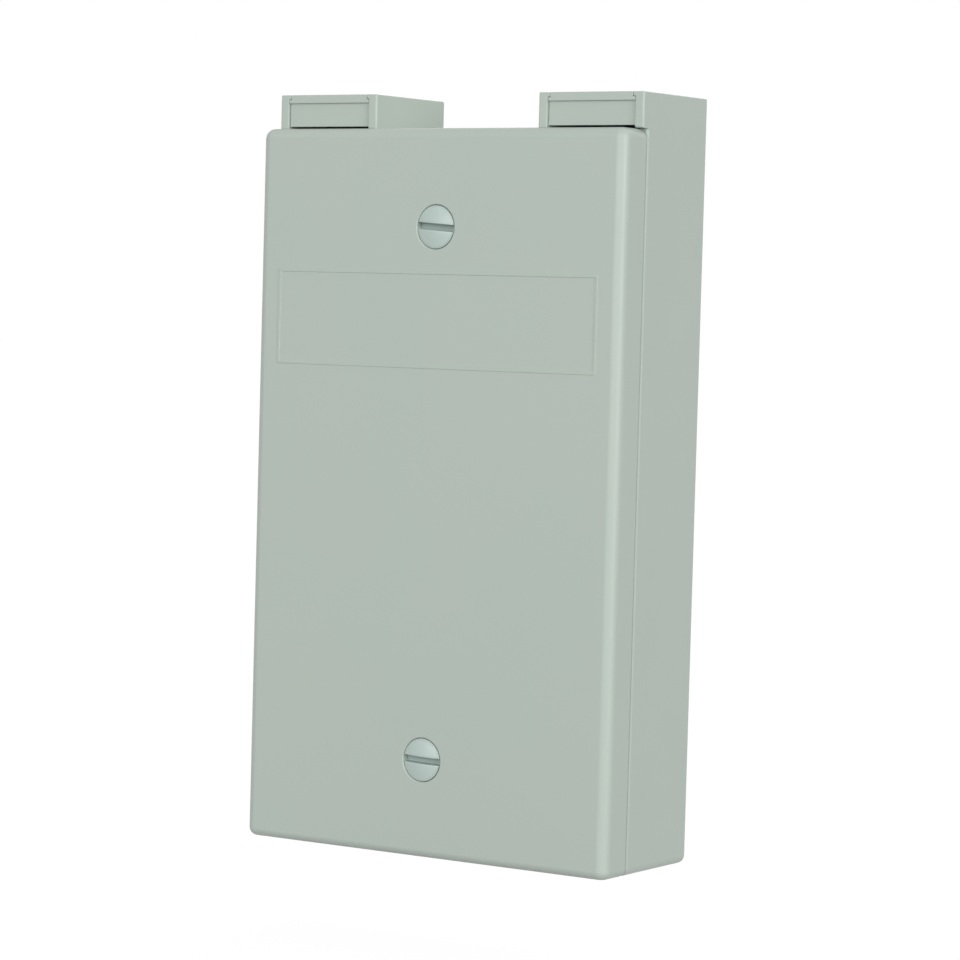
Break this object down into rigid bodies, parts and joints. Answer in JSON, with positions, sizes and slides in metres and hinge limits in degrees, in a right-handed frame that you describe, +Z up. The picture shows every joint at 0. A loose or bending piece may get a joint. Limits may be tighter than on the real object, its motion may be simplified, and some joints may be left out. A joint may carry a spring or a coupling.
{
  "type": "fibre outlet box",
  "caption": "Upright wall box for optical fibre: screwed flat cover with a bare label frame, cable-entry hoods on top, splice tray inside and capped outlets underneath.",
  "frame": {"origin": "middle of the four wall screw holes, on the back face that lies on the wall", "axes": "+Z up, +Y out of the back towards the wall, so the cover faces -Y; +X to the right seen from the room"},
  "size_m": [0.0856, 0.0317, 0.1501],
  "materials": {
    "housing": "satin moulded plastic, grey-green",
    "screw_plastic": "satin moulded polyamide, grey-green",
    "screw_steel": "zinc-plated steel",
    "washer_plastic": "natural nylon",
    "brass": "machined",
    "clamp_plastic": "moulded nylon",
    "tray_plastic": "moulded, light grey",
    "holder_rubber": "soft moulded rubber",
    "adapter_plastic": "moulded, green",
    "sleeve_ceramic": "polished zirconia",
    "cap_plastic": "soft moulded plastic"
  },
  "bodies": {
    "box": {"base": "housing", "clamp_screws": "screw_steel", "tray_screws": "screw_steel", "threaded_insert_top": "brass", "threaded_insert_bottom": "brass", "cable_clamp_left": "clamp_plastic", "cable_clamp_right": "clamp_plastic", "splice_tray": "tray_plastic", "splice_holder": "holder_rubber", "adapter_1": "adapter_plastic", "adapter_2": "adapter_plastic", "adapter_3": "adapter_plastic", "adapter_4": "adapter_plastic", "alignment_sleeve_1": "sleeve_ceramic", "alignment_sleeve_2": "sleeve_ceramic", "alignment_sleeve_3": "sleeve_ceramic", "alignment_sleeve_4": "sleeve_ceramic", "inner_cap_1": "cap_plastic", "inner_cap_2": "cap_plastic", "inner_cap_3": "cap_plastic", "inner_cap_4": "cap_plastic"},
    "cover": {"cover": "housing", "captive_washer_top": "washer_plastic", "captive_washer_bottom": "washer_plastic"},
    "cover_screw_top": {"cover_screw_top": "screw_plastic"},
    "cover_screw_bottom": {"cover_screw_bottom": "screw_plastic"},
    "entry_insert_left": {"entry_insert_left": "housing"},
    "entry_insert_right": {"entry_insert_right": "housing"},
    "outer_cap_1": {"outer_cap_1": "cap_plastic"},
    "outer_cap_2": {"outer_cap_2": "cap_plastic"},
    "outer_cap_3": {"outer_cap_3": "cap_plastic"},
    "outer_cap_4": {"outer_cap_4": "cap_plastic"}
  },
  "joints": [
    {"name": "cover_lift", "type": "slide", "parent": "box", "child": "cover", "axis": [0, -1, 0], "range_m": [0, 0.06]},
    {"name": "cover_screw_top_turn", "type": "hinge", "parent": "cover", "child": "cover_screw_top", "pos_m": [0, -0.0312, 0.0522], "axis": [0, -1, 0], "continuous": true},
    {"name": "cover_screw_bottom_turn", "type": "hinge", "parent": "cover", "child": "cover_screw_bottom", "pos_m": [0, -0.0312, -0.0522], "axis": [0, -1, 0], "continuous": true},
    {"name": "entry_insert_left_pull", "type": "slide", "parent": "box", "child": "entry_insert_left", "axis": [0, -1, 0], "range_m": [0, 0.024]},
    {"name": "entry_insert_right_pull", "type": "slide", "parent": "box", "child": "entry_insert_right", "axis": [0, -1, 0], "range_m": [0, 0.024]},
    {"name": "outer_cap_1_pull", "type": "slide", "parent": "box", "child": "outer_cap_1", "axis": [0, 0, -1], "range_m": [0, 0.016]},
    {"name": "outer_cap_2_pull", "type": "slide", "parent": "box", "child": "outer_cap_2", "axis": [0, 0, -1], "range_m": [0, 0.016]},
    {"name": "outer_cap_3_pull", "type": "slide", "parent": "box", "child": "outer_cap_3", "axis": [0, 0, -1], "range_m": [0, 0.016]},
    {"name": "outer_cap_4_pull", "type": "slide", "parent": "box", "child": "outer_cap_4", "axis": [0, 0, -1], "range_m": [0, 0.016]}
  ]
}
